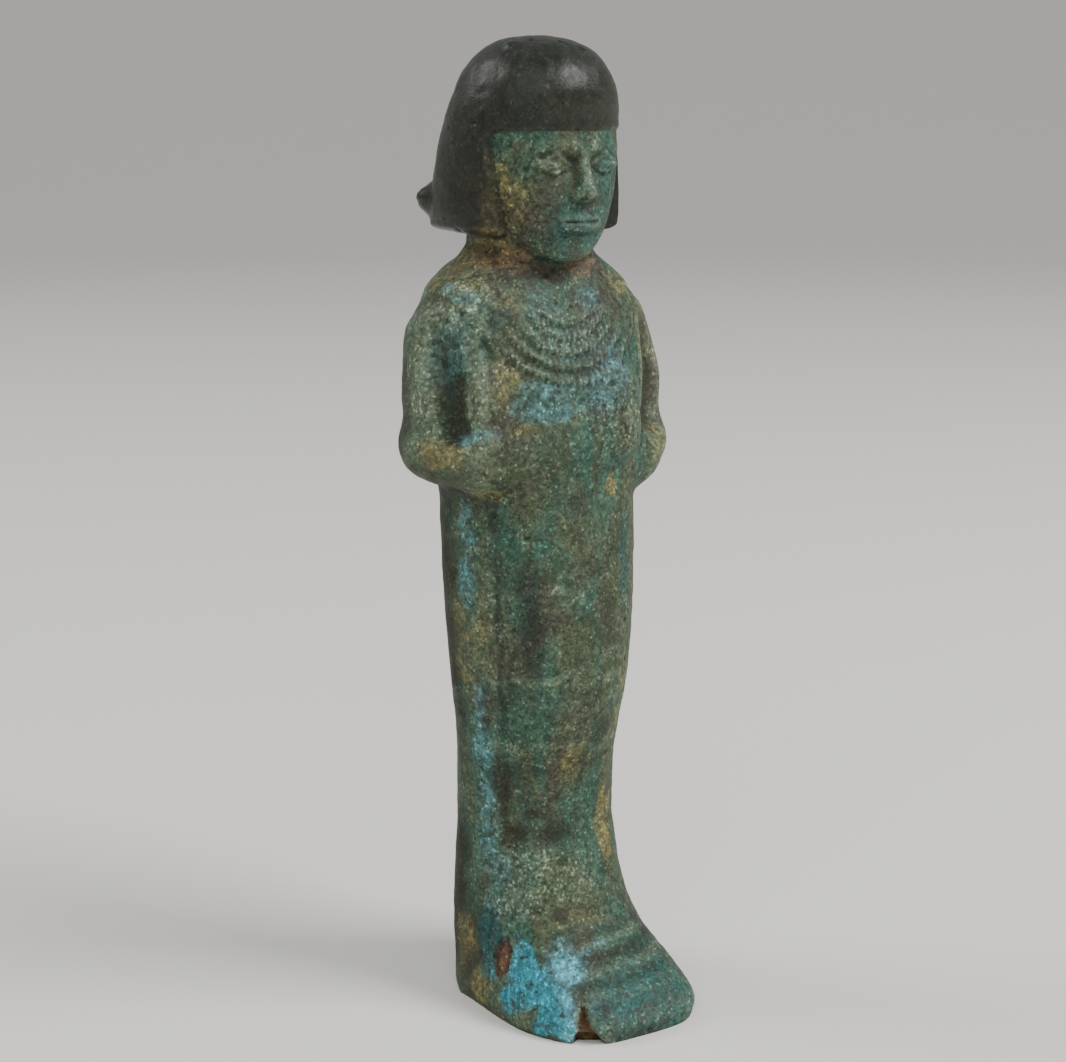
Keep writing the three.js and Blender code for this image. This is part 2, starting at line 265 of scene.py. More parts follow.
def eye(form, p, side):
    """A lidded eye: a hollow, the eyeball in it, and the two lids over it as thin rolls."""
    form = cut(form, ellipsoid(p, (side * 3.4, -10.1, EYE_LEVEL), (2.7, 1.4, 1.4)), 1.0)
    form = join(form, ellipsoid(p, (side * 3.4, -7.7, EYE_LEVEL), (2.3, 1.5, 1.1)), 0.25)
    inner, outer = (1.5, -8.75, EYE_LEVEL - 0.15), (5.6, -7.9, EYE_LEVEL - 0.1)
    for height, radius in ((1.0, 0.34), (-0.9, 0.24)):
        mid = (side * 3.4, -8.95, EYE_LEVEL + height)
        form = join(form, rod(p, mirrored(inner, side), mid, radius * 0.7, radius), 0.2)
        form = join(form, rod(p, mid, mirrored(outer, side), radius, radius * 0.7), 0.2)
    return form


def face(p):
    x, y, z = p
    half_width, front = FACE_AT(z)
    mask = (across(x, y, half_width, front, 5, 2.3) - 1) * np.minimum(half_width, front)
    form = np.maximum(np.maximum(mask, CHIN - 1.4 - z), z - CROWN)
    for side in (-1, 1):
        form = eye(form, p, side)
        brow = (side * 1.2, -8.8, BROW_LEVEL), (side * 5.8, -6.9, BROW_LEVEL - 0.2)
        form = join(form, rod(p, *brow, 0.7, 0.5), 0.8)
    tip = (0, -10.1, NOSE_BASE + 0.8)
    form = join(form, rod(p, (0, -8.9, BROW_LEVEL - 0.5), tip, 0.5, 0.95), 0.9)
    form = join(form, ellipsoid(p, (0, -9.4, NOSE_BASE + 0.6), (1.7, 0.9, 0.8)), 0.6)
    for side in (-1, 1):
        nostril = (side * 0.6, -10.3, NOSE_BASE - 0.1)
        form = cut(form, ellipsoid(p, nostril, (0.32, 0.5, 0.3)), 0.25)
    form = join(form, ellipsoid(p, (0, -8.9, MOUTH_LEVEL), (2.4, 0.8, 0.9)), 0.7)
    for side in (-1, 1):
        corner, bow = (side * 2.3, -8.75, MOUTH_LEVEL), (side * 0.5, -9.45, MOUTH_LEVEL + 0.42)
        form = join(form, rod(p, corner, bow, 0.16, 0.36), 0.3)
    form = join(form, ellipsoid(p, (0, -9.2, MOUTH_LEVEL - 0.55), (1.7, 0.75, 0.5)), 0.3)
    for side in (-1, 1):
        parting = (0, -9.95, MOUTH_LEVEL), (side * 2.2, -9.2, MOUTH_LEVEL + 0.05)
        form = cut(form, rod(p, *parting, 0.2, 0.14), 0.2)
    return join(form, ellipsoid(p, (0, -7.0, CHIN + 1.4), (2.4, 1.6, 1.5)), 1.4)


def window_bearing(z):
    share = np.clip((z - HEM) / (FRINGE - HEM), 0, 1)
    return WINDOW_HEM + (WINDOW_FRINGE - WINDOW_HEM) * share


def wig(p):
    x, y, z = p
    half_width, front, back = WIG_AT(z)
    dome = np.maximum((z - CROWN) / (HEIGHT - CROWN), 0)
    hem = np.maximum((HEM + HEM_ROUNDING - z) / HEM_ROUNDING, 0)
    leant = (x - dome * LEAN_X, y - dome * LEAN_Y)
    out = across(*leant, half_width, front, back, WIG_SQUARE)
    reach = (out**DOME_SQUARE + np.maximum(dome, hem) ** DOME_SQUARE) ** (1 / DOME_SQUARE)
    edge = window_bearing(z)
    beside = -y * np.sin(edge) - np.abs(x) * np.cos(edge)
    opening = -join(beside, FRINGE - z, 1.6)
    lump = ellipsoid(p, LUMP_CENTRE, LUMP_RADII)
    return join(cut((reach - 1) * half_width, opening, 0.5), lump, 1.2)


def collar_place(x, z):
    """Radius about the throat, and the angle from straight down, of a point of the collar."""
    return np.hypot(x - COLLAR_X, z - COLLAR_LEVEL), np.arctan2(x - COLLAR_X, COLLAR_LEVEL - z)


def collar(p):
    x, y, z = p
    out, turn = collar_place(x, z)
    raised = 1 - smoothstep(out, COLLAR_EDGE - 0.2, COLLAR_EDGE + 0.5)
    string = 0.5 + 0.5 * np.cos(2 * math.pi * (out - COLLAR_INNER) / COLLAR_BAND)
    worn = smoothstep(np.abs(turn), math.radians(42), math.radians(60))
    groove = np.where(out > COLLAR_INNER - 0.4, string, 0) * (1 - worn)
    on_breast = smoothstep(-y, -2, 2) * smoothstep(COLLAR_LEVEL + 1 - z, 0, 2)
    return COLLAR_RELIEF * raised * (1 - 0.85 * groove) * on_breast


def figure(x, y, z):
    """The whole field, with each part worked out only near the levels that it reaches."""
    p = (x, y, z)
    form = body(p) - collar(p)
    near = (z > WAIST - 4) & (z < CHIN)
    if near.any():
        q = tuple(v[near] for v in p)
        part = form[near]
        for hand in ("right", "left"):
            part = join(part, arm(q, hand), 2.2)
        for hand in ("right", "left"):
            part = cut(part, arm_hollow(q, hand), 2.4)
        form[near] = part
    near = z > CHIN - 4
    if near.any():
        q = tuple(v[near] for v in p)
        form[near] = join(join(form[near], face(q), 1.2), wig(q), 0.4)
    return form


# ---------- The skin's grid: a row is a level, a column a bearing about the axis ----------
OUTSIDE, STEP, HALVINGS = 30.0, 0.6, 14


def surface(spine, level, ray):
    """Distance along each ray at which it leaves the form, searched from outside inwards."""

    def inside(d, which):
        x, y, z = (d * ray[k][which] for k in range(3))
        return figure(x, y + spine[which], z + level[which]) <= 0

    distance = np.full(level.shape, OUTSIDE)
    active = np.arange(level.size)
    while active.size:
        distance[active] -= STEP
        hit = inside(distance[active], active) | (distance[active] < STEP)
        active = active[~hit]
    near, far, everywhere = distance.copy(), distance + STEP, np.arange(level.size)
    for _ in range(HALVINGS):
        middle = (near + far) / 2
        within = inside(middle, everywhere)
        near, far = np.where(within, middle, near), np.where(within, far, middle)
    return (near + far) / 2


def ring_level(radius, bearing):
    """The level of a row that runs along a ring of the collar in front, level beside it."""
    side = np.sin(np.minimum(np.abs(bearing), math.pi / 2))
    return COLLAR_LEVEL - radius * np.sqrt(1 - np.minimum(CHEST * side / radius, 0.86) ** 2)


def column_bearings(level, counts):
    """Bearings round one level: close in front, one to each side of the wig's edge."""
    edge = float(window_bearing(max(level, HEM)))
    stops = [0, edge - math.radians(1), edge + math.radians(1), math.radians(112), math.pi]
    half = [0.0]
    for start, end, count in zip(stops, stops[1:], counts):
        half += [start + (end - start) * i / count for i in range(1, count + 1)]
    half = np.array(half)
    return np.concatenate([-half[-2:0:-1], half])


def grid_rays(fineness):
    """Level, tilt and bearing of each ray, as arrays of rows by columns."""
    counts = [max(2, round(n * fineness)) for n in (54, 3, 25, 20)]
    ring_out, ring_in = COLLAR_EDGE + 0.9, COLLAR_INNER - 0.9
    bands = [
        (8, lambda b: 0.0, lambda b: SOLE_EDGE),
        (48, lambda b: SOLE_EDGE, lambda b: 14.0),
        (92, lambda b: 14.0, lambda b: WAIST - 0.5),
        (24, lambda b: WAIST - 0.5, lambda b: ELBOW_Z["left"]),
        (46, lambda b: ELBOW_Z["left"], lambda b: ring_level(ring_out, b)),
        (62, ring_out, ring_in),
        (38, lambda b: ring_level(ring_in, b), lambda b: HEM - 0.1),
        (4, lambda b: HEM - 0.1, lambda b: HEM + 0.4),
        (76, lambda b: HEM + 0.4, lambda b: FRINGE - 0.3),
        (5, lambda b: FRINGE - 0.3, lambda b: FRINGE + 0.3),
        (8, lambda b: FRINGE + 0.3, lambda b: CROWN),
    ]
    levels, bearings = [], []

    def add(level_of):
        row = column_bearings(float(np.max(level_of(0.0))), counts)
        bearings.append(row)
        levels.append(np.broadcast_to(level_of(row), row.shape))

    add(lambda b: 0.0)
    for count, low, high in bands:
        steps = max(2, round(count * fineness))
        for i in range(1, steps + 1):
            share = i / steps
            if callable(low):
                add(lambda b: low(b) + (high(b) - low(b)) * share)
            else:
                add(lambda b: ring_level(low + (high - low) * share, b))
    tilts = [0.0] * len(levels)
    fan = max(8, round(50 * fineness))
    for i in range(1, fan):
        add(lambda b: CROWN)
        tilts.append(i / fan * math.pi / 2)
    tilts = np.broadcast_to(np.array(tilts)[:, None], (len(tilts), len(bearings[0])))
    return np.array(levels), tilts, np.array(bearings)


def cast_skin(fineness):
    """Points of the plain form in millimetres, as an array of rows by columns by 3."""
    level, tilt, bearing = grid_rays(fineness)
    shape = level.shape
    level, tilt, bearing = (v.reshape(-1) for v in (level, tilt, bearing))
    spine = SPINE_AT(level)[0]
    ray = [np.sin(bearing) * np.cos(tilt), -np.cos(bearing) * np.cos(tilt), np.sin(tilt)]
    away = surface(spine, level, ray)
    points = [away * ray[0], spine + away * ray[1], level + away * ray[2]]
    return np.stack(points, axis=-1).reshape(*shape, 3)


def grid_normals(points):
    """Outward normals of the grid, whose rows close on themselves."""
    round_about = np.roll(points, -1, axis=1) - np.roll(points, 1, axis=1)
    normals = np.cross(round_about, np.gradient(points, axis=0))
    return normals / np.maximum(np.linalg.norm(normals, axis=-1, keepdims=True), 1e-9)


def smoothed(values, times):
    """Values of the grid, each pass averaged with its four neighbours."""
    for _ in range(times):
        rows = np.concatenate([values[:1], values, values[-1:]])
        beside = np.roll(values, 1, axis=1) + np.roll(values, -1, axis=1)
        values = 0.2 * values + 0.2 * (rows[:-2] + rows[2:] + beside)
    return values


def clouds(points, size, octaves=3, seed=0.0):
    """Smooth noise from about -1 to 1 whose lumps are size millimetres across."""
    shift = Vector((seed, seed * 1.7, seed * 2.3))
    flat = points.reshape(-1, 3) / size
    values = [noise.fractal(Vector(v) + shift, 1.0, 2.0, octaves) for v in flat]
    return np.array(values).reshape(points.shape[:-1])


DRIFT_SEED = 1


def drifts(points, size, seed=0.0):
    """A smooth random shift for each point, about 1 long at the most."""
    noise.seed_set(DRIFT_SEED)  # unseeded, noise_vector starts from the clock
    shift = Vector((seed, seed * 1.7, seed * 2.3))
    flat = points.reshape(-1, 3) / size
    return np.array([noise.noise_vector(Vector(v) + shift) for v in flat]).reshape(points.shape)


def spot(points, centre, radii):
    """Distance from an ellipsoidal spot's centre, 1 on its outline."""
    return np.linalg.norm((points - np.array(centre)) / np.array(radii), axis=-1)


# ---------- What time did to the surface, with painted shade and painted light ---
# Places are in millimetres of the figurine: centre, radii, strength.
MARKS = {}
# pale blue glaze that is left in the hollows and along the front corners
MARKS["blue"] = [
    ((-12.0, -1.4, 83.3), (1.5, 1.7, 0.8), 0.65),
    ((-11.7, -3.4, 82.3), (1.5, 1.4, 0.7), 0.8),
    ((-13.8, -3.4, 77.0), (2.2, 2.2, 4.2), 0.4),
    ((-4.0, -7.6, 81.2), (3.0, 2.4, 1.8), 0.3),
    ((2.2, -7.4, 81.8), (1.7, 2.0, 2.2), 0.45),
    ((-0.5, -8.9, 77.2), (5.5, 2.4, 3.0), 0.3),
    ((4.6, -10.0, 74.6), (1.8, 2.2, 3.0), 0.8),
    ((2.4, -10.5, 72.0), (3.2, 2.4, 3.2), 0.6),
    ((-4.6, -9.5, 71.2), (4.4, 2.4, 2.0), 0.62),
    ((-2.9, -9.9, 69.8), (1.4, 1.6, 0.8), 1.0),
    ((-12.9, -6.8, 68.0), (2.4, 2.0, 0.9), 0.7),
    ((-11.5, -2.7, 57.0), (0.9, 1.0, 3.6), 0.75),
    ((-11.4, -2.6, 50.6), (0.9, 1.0, 3.6), 0.75),
    ((-9.9, -3.2, 35.0), (0.8, 1.0, 4.2), 0.6),
    ((-9.2, -3.5, 28.0), (1.3, 1.5, 5.6), 0.8),
    ((-9.1, -3.6, 20.8), (1.3, 1.6, 4.0), 0.6),
    ((-8.6, -5.8, 16.4), (2.0, 1.8, 2.4), 0.6),
    ((-9.4, -5.0, 13.2), (1.7, 1.2, 2.4), 0.45),
    ((-9.6, -13.6, 5.5), (2.4, 6.0, 3.4), 0.5),
    ((-2.9, -14.8, 8.6), (2.0, 1.0, 0.45), 0.8),
    ((-5.8, -13.6, 9.2), (1.6, 1.4, 1.0), 0.6),
    ((-0.3, -18.3, 6.5), (4.6, 1.6, 0.6), 0.4),
    ((-4.0, -19.8, 4.0), (2.2, 2.6, 1.8), 0.3),
]
# rubbed edges, and earth that has gone into the glaze; on the cheek and neck under the wig, painted
# light that lifts the wig's shadow
MARKS["ochre"] = [
    ((-10.8, -1.8, 42.4), (1.5, 1.8, 5.6), 0.6),
    ((-10.5, -4.2, 43.6), (1.0, 2.4, 4.4), 0.45),
    ((4.2, -8.6, 20.6), (1.7, 2.4, 4.6), 1.0),
    ((-1.0, -9.8, 29.4), (2.4, 2.0, 2.6), 0.5),
    ((5.2, -10.1, 35.5), (1.6, 2.0, 6.0), 0.35),
    ((-16.2, -4.9, 65.8), (2.2, 2.6, 1.8), 0.75),
    ((-7.4, -9.2, 68.3), (2.8, 1.8, 0.9), 0.5),
    ((13.4, -7.0, 64.4), (2.2, 2.6, 2.8), 0.6),
    ((3.7, -10.4, 61.1), (0.9, 1.6, 1.3), 1.0),
    ((-10.4, -6.4, 60.9), (2.4, 2.0, 0.7), 0.8),
    ((1.6, -7.8, 86.2), (2.2, 2.6, 0.8), 0.9),
    ((-10.2, 0.0, 84.2), (4.0, 5.0, 1.8), 0.6),
    ((8.2, -5.2, 83.0), (2.6, 2.6, 1.6), 0.6),
    ((-7.6, -6.2, 81.6), (1.8, 2.0, 1.4), 0.5),
    ((-9.6, -8.2, 73.2), (1.9, 2.0, 2.4), 0.5),
    ((-11.0, -0.8, 7.6), (1.4, 2.4, 3.2), 0.7),
    ((-10.9, -4.6, 2.8), (1.4, 2.2, 2.0), 0.7),
    ((-3.8, -12.4, 11.6), (4.4, 2.6, 2.0), 0.35),
    # the next three marks are tan glaze and painted light, lifting the wig's shadow on the neck and
    # cheek
    ((-8.0, -1.0, 86.8), (3.0, 5.0, 1.4), 0.95),
    ((-7.8, -6.0, 92.4), (2.0, 3.0, 4.6), 0.55),
    ((-8.4, -5.6, 88.6), (2.0, 3.0, 1.6), 0.6),
    ((13.0, -3.0, 76.0), (3.0, 4.0, 8.0), 0.3),
]
# red-brown earth about the neck
MARKS["neck"] = [
    ((-6.6, -3.0, 86.4), (3.0, 3.0, 1.2), 0.8),
    ((-8.6, 0.5, 85.0), (3.0, 4.0, 0.9), 0.4),
    ((-3.6, -5.2, 85.0), (2.6, 2.0, 0.9), 0.75),
    ((2.8, -5.6, 85.2), (3.4, 2.2, 1.0), 0.75),
    ((3.5, 5.5, 86.5), (6.5, 3.5, 1.0), 0.6),
    ((-12.5, -4.2, 82.6), (0.6, 1.0, 0.6), 0.5),
]
# brown-black stain and dirt, and painted shade in the hollows between the arms and the breast and
# along the wig's edge beside the cheek
MARKS["stain_and_shade"] = [
    ((-7.2, -9.4, 50.6), (1.6, 2.0, 3.2), 0.7),
    ((-7.1, -9.6, 44.8), (1.5, 2.0, 4.6), 0.85),
    ((-10.1, -6.2, 57.8), (0.9, 1.4, 1.8), 0.75),
    ((-9.6, -7.0, 52.0), (0.8, 1.4, 3.6), 0.45),
    ((-8.9, -6.6, 37.0), (0.8, 1.4, 5.0), 0.6),
    ((-8.5, -5.6, 26.4), (1.1, 1.6, 4.4), 0.85),
    ((-5.9, -7.8, 23.4), (1.3, 1.8, 0.9), 0.8),
    ((-7.4, -6.5, 21.2), (0.9, 1.6, 1.2), 0.8),
    ((-2.8, -9.0, 21.2), (2.0, 2.0, 1.6), 0.75),
    ((-1.6, -10.8, 59.8), (1.9, 2.0, 1.6), 0.5),
    ((2.4, -11.3, 46.0), (1.3, 2.0, 3.6), 0.5),
    ((2.3, -10.4, 32.4), (1.2, 1.8, 1.8), 0.7),
    ((4.7, -10.5, 54.5), (1.2, 2.0, 2.6), 0.4),
    ((-4.7, -11.3, 11.9), (1.0, 1.2, 0.8), 0.95),
    # painted shade in the hollow between the right upper arm and the breast, here and in the next
    # line
    ((-14.1, -4.4, 71.6), (1.0, 1.4, 2.2), 0.5),
    ((-13.5, -5.4, 69.6), (0.8, 1.2, 1.2), 0.15),
    ((-3.3, -13.8, 9.7), (2.4, 1.0, 0.6), 0.6),
    ((-0.4, -16.0, 7.7), (4.6, 1.4, 0.6), 0.4),
    ((-4.4, -18.3, 5.7), (1.8, 1.2, 0.5), 0.6),
    ((3.6, -16.4, 7.4), (2.4, 1.6, 0.9), 0.5),
    ((-2.6, -6.0, 84.5), (3.4, 2.4, 0.6), 0.9),
    # painted shade in the hollow between the left upper arm and the breast
    ((13.8, -4.4, 70.4), (1.2, 1.6, 2.6), 0.6),
    ((-10.8, -1.4, 5.6), (0.8, 1.2, 1.4), 0.6),
    # painted shadow along the wig's edge beside the cheek
    ((-9.6, -3.2, 91.6), (1.0, 1.0, 4.4), 0.4),
]
# painted shade: dark olive on the sides of the legs, arm and wig, most of it on the side turned away
# from the key light
MARKS["side_shade"] = [
    ((-13.8, -1.0, 63.2), (4.4, 6.5, 3.4), 0.6),
    ((-10.6, -1.0, 8.0), (1.4, 3.6, 9.0), 0.6),
    ((-11.4, 3.6, 44.0), (2.8, 4.6, 24.0), 1.0),
    ((-10.4, 2.6, 14.0), (2.4, 3.6, 12.0), 1.0),
    ((12.2, 3.6, 44.0), (2.6, 4.6, 24.0), 0.6),
    ((-17.0, 3.0, 70.0), (2.6, 4.0, 9.0), 0.7),
    ((-10.4, 5.4, 93.0), (2.6, 6.4, 4.6), 1.0),
]
# pale grains like frost on the ankle and the rubbed upper arm
MARKS["frost"] = [
    ((-6.2, -7.8, 17.6), (3.4, 2.8, 1.8), 0.85),
    ((-7.6, -7.6, 14.0), (2.6, 3.0, 2.8), 0.9),
    ((-1.6, -10.2, 15.6), (4.0, 2.6, 2.6), 0.6),
    ((-16.4, -0.8, 75.4), (1.4, 1.6, 2.6), 0.7),
    ((-16.7, -2.4, 71.6), (1.2, 1.4, 2.4), 0.6),
    ((-9.8, -8.0, 75.2), (2.2, 1.8, 1.6), 0.45),
    ((-2.0, -8.6, 78.4), (5.2, 2.0, 2.6), 0.4),
    ((-11.4, -3.6, 81.2), (3.4, 3.0, 3.0), 0.7),
    ((4.0, -9.6, 68.0), (5.0, 3.0, 3.0), 0.4),
]
# bright glaze that ran down and pooled about the foot
MARKS["turquoise"] = [
    ((-9.7, -10.6, 7.2), (1.7, 2.2, 2.4), 1.0),
    ((-9.6, -13.0, 5.8), (2.0, 3.0, 2.6), 0.85),
    ((-9.3, -15.8, 4.4), (2.2, 2.6, 2.2), 0.95),
    ((-6.6, -15.2, 7.4), (2.2, 2.4, 1.6), 0.75),
    ((-11.0, -10.3, 3.4), (1.4, 1.8, 2.0), 0.95),
    ((-10.3, -15.8, 1.6), (1.4, 1.7, 1.2), 0.95),
    ((-9.4, -18.2, 1.4), (1.2, 1.4, 1.6), 0.9),
    ((-10.5, -6.6, 10.6), (0.7, 0.7, 1.2), 0.75),
    ((-11.2, -6.9, 4.4), (0.7, 0.8, 1.0), 0.7),
]
# deep glaze, thick enough to go dark
MARKS["teal"] = [
    ((-10.3, -5.2, 9.2), (1.5, 1.7, 3.6), 1.0),
    ((-10.8, -5.6, 5.4), (1.3, 1.4, 2.4), 0.9),
    ((-6.0, -19.6, 4.6), (1.0, 1.0, 0.9), 0.9),
    ((-9.4, -17.0, 2.6), (2.0, 2.6, 1.4), 0.45),
    ((1.0, -20.0, 3.2), (9.0, 6.0, 3.8), 0.55),
    ((0.0, -9.0, 66.0), (8.0, 3.0, 2.6), 0.2),
    ((-7.8, -17.2, 6.2), (0.8, 0.8, 0.6), 0.5),
    ((-0.4, -8.8, 88.6), (4.0, 3.0, 3.0), 0.5),
    ((4.8, -8.2, 93.5), (3.4, 3.0, 5.0), 0.4),
    ((5.6, -10.3, 52.6), (1.0, 2.0, 5.0), 0.55),
]
SCAR = ((-10.5, -7.7, 7.4), (1.7, 1.5, 2.5))  # where a flake of the glaze came off
PITS = [  # centre, radius, depth
    ((-15.9, -2.4, 73.8), 0.45, 0.4),
    ((3.4, -10.6, 72.6), 0.55, 0.35),
    ((-10.2, -6.4, 58.6), 0.5, 0.35),
    ((-7.5, -9.0, 56.3), 0.5, 0.3),
    ((-9.4, -3.8, 78.9), 0.5, 0.25),
]
CHIP_FOOT, CHIP_ALONG, CHIP_TOP = (-7.9, -19.7), (0.677, -0.736), 4.6
CHIP_HALF, CHIP_DEPTH = 1.9, 0.55
CROWN_BUMP = ((-4.7, -2.8, 108.9), (1.1, 1.1, 0.9))
SHOULDER_RIDGE = ((-11.8, -2.6, 82.8), (1.4, 3.2, 1.0))
CORNER_BEARING, CORNER_LOW, CORNER_HIGH = math.radians(-55), 18.0, 54.0
BEND_FULL = 0.09  # how far a hollow or ridge bends, in mm, when it holds all its soil and painted shade, or all its wear
CORNER_GROOVE, CRACK_DEPTH, SCAR_DEPTH, LUMP_WORN = 0.13, 0.16, 0.3, 0.45
CRAZED = ((-10.3, -5.2, 7.6), (1.8, 2.4, 6.0))  # where the pooled glaze has cracked downwards
RIPPLE_TOP, RIPPLE_PITCH = 8.8, 2.15  # level of the first ridge over the toes, and their spacing


def chip(points, fray):
    """How far inside the broken corner of the sole each point lies, 0 to 1."""
    x, y, z = np.moveaxis(points, -1, 0)
    along = (x - CHIP_FOOT[0]) * CHIP_ALONG[0] + (y - CHIP_FOOT[1]) * CHIP_ALONG[1]
    share = np.clip(1 - z / CHIP_TOP, 0, 1)
    left, right = -CHIP_HALF * (0.25 + 0.45 * share), CHIP_HALF * (1.5 * share - 0.25)
    inside = np.minimum(along - left, right - along) + 0.25 * fray
    facing = (x < -2) & (y < -15) & (z < CHIP_TOP)
    return smoothstep(inside, -0.05, 0.3) * facing


def relief(points, sizes, fray):
    """How far the worn surface stands over the plain form, in millimetres."""
    x, y, z = np.moveaxis(points, -1, 0)
    lift = sizes.wear * (clouds(points, 6.0) + 0.45 * clouds(points, 2.2, seed=5))
    lift += sizes.grit * fray

    out, turn = collar_place(x, z)
    row = np.floor((out - COLLAR_INNER) / COLLAR_BAND)
    gap = (0.5 + 0.5 * np.cos(2 * math.pi * (turn * out / sizes.bead + 0.37 * row))) ** 2
    strung = (out > COLLAR_INNER) & (out < COLLAR_EDGE) & (y < -2)
    faded = 1 - smoothstep(np.abs(turn), math.radians(40), math.radians(60))
    lift -= sizes.bead_relief * gap * strung * faded

    ripple = np.cos(2 * math.pi * (z - RIPPLE_TOP) / RIPPLE_PITCH)
    over_toes = smoothstep(z, 4.6, 5.8) * smoothstep(-z, -10.8, -9.6) * smoothstep(-y, 12, 13.5)
    lift += sizes.ripple * ripple * over_toes * smoothstep(x, -7.5, -5.5)

    bearing = np.arctan2(x, -y) + 0.05 * clouds(points, 7.0, seed=9)
    line = np.abs(bearing - CORNER_BEARING) * np.hypot(x, y)
    on_leg = smoothstep(z, CORNER_LOW, CORNER_LOW + 4)
    on_leg *= smoothstep(-z, -CORNER_HIGH, 4 - CORNER_HIGH)
    lift -= CORNER_GROOVE * smoothstep(-line, -0.9, 0) * on_leg

    for centre, radii, depth in (CROWN_BUMP + (0.3,), SHOULDER_RIDGE + (0.25,)):
        lift += depth * smoothstep(-spot(points, centre, radii), -1.2, -0.3)
    near_lump = smoothstep(-spot(points, LUMP_CENTRE, LUMP_RADII), -1.6, -0.9)
    lift += near_lump * (0.15 * clouds(points, 1.4, seed=13) - LUMP_WORN)
    for centre, radius, depth in PITS:
        lift -= depth * smoothstep(-spot(points, centre, (radius,) * 3) - 0.2 * fray, -1.2, -0.3)

    crackle = clouds(points * (1, 1, 0.3), 0.9, 2, seed=17)
    crazed = smoothstep(-spot(points, *CRAZED), -1.2, -0.6)
    lift -= CRACK_DEPTH * crazed * smoothstep(-np.abs(crackle), -0.18, 0)

    scar = spot(points, *SCAR) + 0.12 * fray
    lift -= SCAR_DEPTH * smoothstep(-scar, -1.08, -0.9)
    lift -= (CHIP_DEPTH + 0.7 * smoothstep(-z, -1.4, -0.9)) * chip(points, fray)
    return lift


def scattered_pits(points, count, seed=7):
    """Small pits where grains fell out, as depths in millimetres."""
    random = np.random.default_rng(seed)
    flat = points.reshape(-1, 3)
    depth = np.zeros(len(flat))
    for i in random.choice(len(flat), count, replace=False):
        radius = random.uniform(0.25, 0.6)
        away = np.linalg.norm(flat - flat[i], axis=1) / radius
        depth = np.maximum(depth, radius * 0.35 * smoothstep(-away, -1, -0.2))
    return depth.reshape(points.shape[:-1])


def surface_marks(points, plain, fray):
    """Each kind of mark as a value from 0 to 1 at each point."""
    ragged = points + 0.9 * drifts(points, 3.2) + 0.4 * drifts(points, 1.0, seed=4)
    values = {}
    for name, marks in MARKS.items():
        value = np.zeros(points.shape[:-1])
        for centre, radii, strength in marks:
            away = spot(ragged, centre, radii)
            value = np.maximum(value, strength * smoothstep(-away, -1.6, -0.5))
        values[name] = value
    scar = spot(points, *SCAR) + 0.12 * fray
    values["rust"] = smoothstep(-scar, -1.1, -0.9)
    values["core"] = chip(points, fray)
    x, y, z = np.moveaxis(plain, -1, 0)
    values["wig"] = smoothstep(-wig((x, y, z)), -0.3, -0.08) * (z > HEM - 0.3)
    # the hollows are darkened with soil and painted shade in the material, and the ridges paled with
    # wear
    over = np.sum((smoothed(points, 10) - points) * grid_normals(points), axis=-1)
    values["hollow"] = np.clip(over / BEND_FULL, 0, 1)
    values["ridge"] = np.clip(-over / BEND_FULL, 0, 1)
    return values


# ---------- Meshes ----------
def closed_mesh(name, points, sole_rings, values):
    """The grid closed by a point at the crown and rings that run in to the middle of the sole."""
    rows, columns = points.shape[:2]
    sole = points[0]
    middle = sole.mean(axis=0)
    rings = [middle + (sole - middle) * (i / sole_rings) for i in range(1, sole_rings)]
    top = points[-1].mean(axis=0)
    grid = np.concatenate([np.array(rings), points])
    vertices = np.concatenate([grid.reshape(-1, 3), [middle, top]]) * UNIT
    count = len(grid)

    i, j = np.meshgrid(np.arange(count - 1), np.arange(columns), indexing="ij")
    along = (j + 1) % columns
    low, high = i * columns, (i + 1) * columns
    quads = np.stack([low + j, low + along, high + along, high + j], axis=-1)
    quads = quads.reshape(-1, 4).tolist()
    j = np.arange(columns)
    after, last = (j + 1) % columns, (count - 1) * columns
    foot, crown = len(vertices) - 2, len(vertices) - 1
    fans = [[foot, b, a] for a, b in zip(j.tolist(), after.tolist())]
    fans += [[crown, last + a, last + b] for a, b in zip(j.tolist(), after.tolist())]

    mesh = bpy.data.meshes.new(name)
    mesh.from_pydata(vertices.tolist(), [], quads + fans)
    mesh.polygons.foreach_set("use_smooth", [True] * len(mesh.polygons))
    for key, value in values.items():
        inner = np.repeat(value[:1], len(rings), axis=0)
        ends = [value[0].mean(), value[-1].mean()]
        data = np.concatenate([np.concatenate([inner, value]).reshape(-1), ends])
        layer = mesh.attributes.new(key, "FLOAT", "POINT")
        layer.data.foreach_set("value", data.astype(np.float32))
    add_unwrap(mesh, columns, count)
    mesh.update()
    if mesh.validate():
        raise RuntimeError(f"{name} had faces that aren't valid")
    return mesh


def add_unwrap(mesh, columns, rows):
    """Unrolls the skin: bearing along U, level along V."""
    corner = np.empty(len(mesh.loops), int)
    mesh.loops.foreach_get("vertex_index", corner)
    u, v = (corner % columns) / columns, np.minimum(corner // columns, rows) / rows
    starts = np.empty(len(mesh.polygons), int)
    totals = np.empty(len(mesh.polygons), int)
    mesh.polygons.foreach_get("loop_start", starts)
    mesh.polygons.foreach_get("loop_total", totals)
    face = np.repeat(np.arange(len(starts)), totals)
    widest = np.zeros(len(starts))
    np.maximum.at(widest, face, u)
    u = np.where((widest[face] > 0.75) & (u < 0.25), u + 1, u)
    layer = mesh.uv_layers.new(name="unrolled")
    layer.data.foreach_set("uv", np.stack([u, v], axis=-1).reshape(-1).astype(np.float32))


def link(obj):
    bpy.context.scene.collection.objects.link(obj)
    return obj


